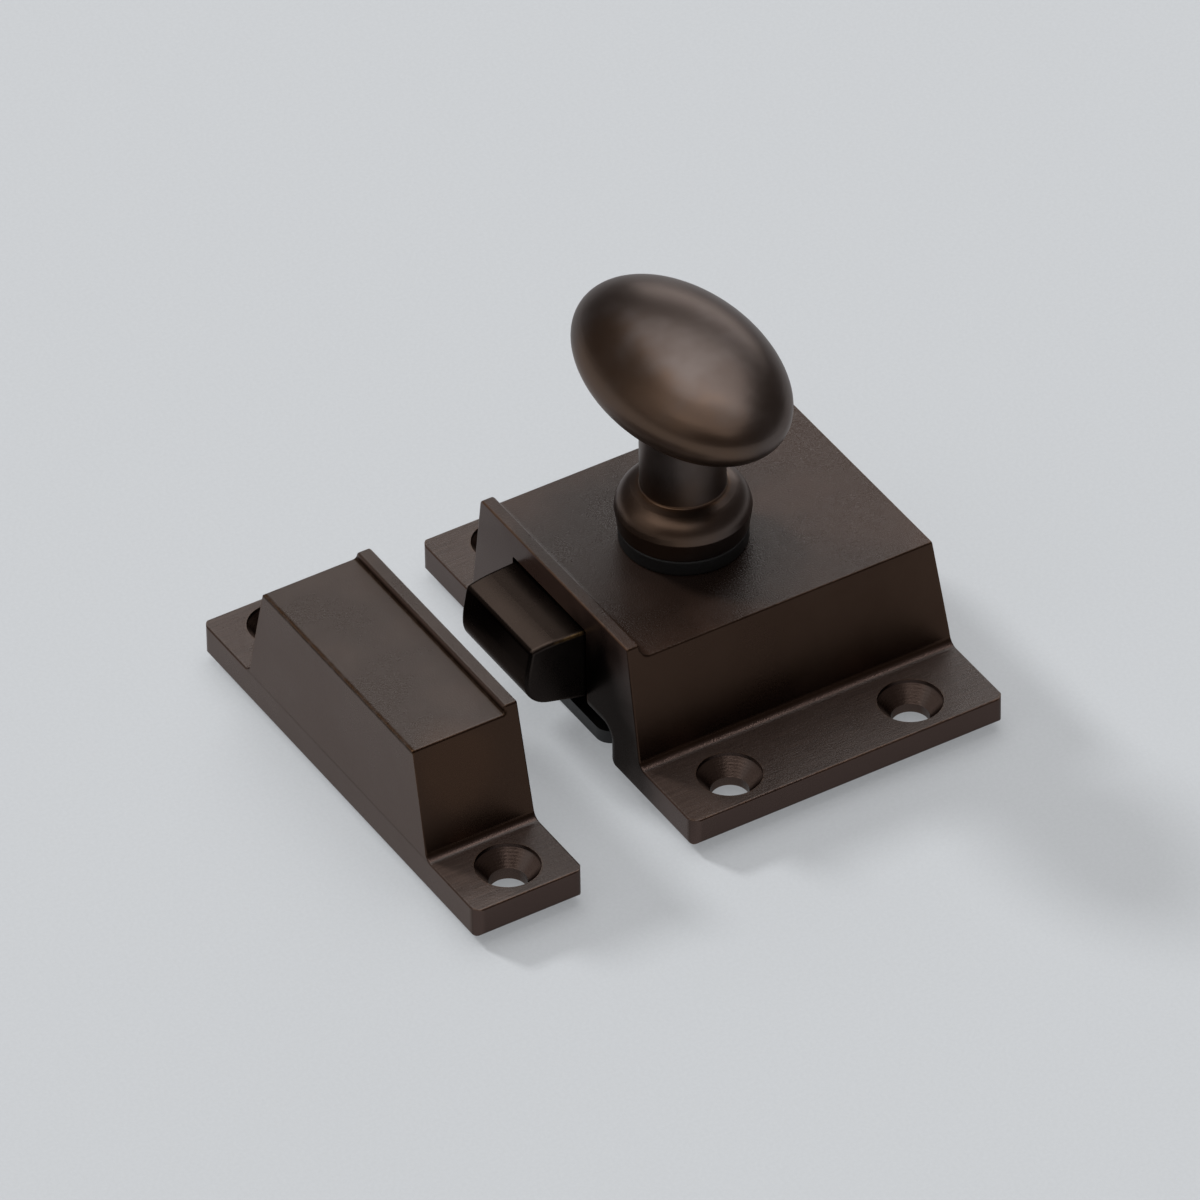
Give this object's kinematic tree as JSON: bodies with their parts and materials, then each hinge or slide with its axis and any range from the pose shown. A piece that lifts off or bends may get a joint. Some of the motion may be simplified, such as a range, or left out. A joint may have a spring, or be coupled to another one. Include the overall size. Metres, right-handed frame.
{
  "type": "cupboard catch latch",
  "caption": "Surface cupboard latch in dark bronze: an oval turn knob on a cast case draws back a spring bolt, and a separate cast strike takes the bolt.",
  "frame": {"origin": "middle of the case's four screw holes, on the mounting plane", "axes": "+Z out of the mounting plane towards the knob, +X from the strike to the case (against the bolt's throw), Y along the length of the case and the strike"},
  "size_m": [0.0602, 0.0516, 0.0408],
  "materials": {
    "latch_case": "dark bronze patina, satin",
    "turn_knob": "dark bronze patina, satin",
    "knob_washer": "black, matt",
    "spindle": "turned",
    "retractor_cam": "plain steel",
    "drive_pin": "ground",
    "cam_nut": "plain steel",
    "latch_bolt": "dark bronze patina, polished",
    "bolt_spring": "drawn wire",
    "cover_plate": "black, rough",
    "cover_screws": "blackened",
    "strike": "dark bronze patina, satin"
  },
  "bodies": {
    "case": {"latch_case": "latch_case", "knob_washer": "knob_washer", "bolt_spring": "bolt_spring", "cover_plate": "cover_plate", "cover_screws": "cover_screws", "strike": "strike"},
    "knob": {"turn_knob": "turn_knob", "spindle": "spindle", "retractor_cam": "retractor_cam", "drive_pin": "drive_pin", "cam_nut": "cam_nut"},
    "bolt": {"latch_bolt": "latch_bolt"}
  },
  "joints": [
    {"name": "knob_turn", "type": "hinge", "parent": "case", "child": "knob", "pos_m": [-0.0024, 0, 0], "axis": [0, 0, -1], "range_deg": [0, 77.36], "stiffness_Nm_per_rad": 0.0049, "springref_deg": -77.35},
    {"name": "bolt_slide", "type": "slide", "parent": "case", "child": "bolt", "axis": [1, 0, 0], "range_m": [0, 0.006], "deforming": ["bolt_spring"]}
  ],
  "couplings": [
    {"joint": "bolt_slide", "follows": "knob_turn", "m_per_rad": 0.0044438}
  ]
}
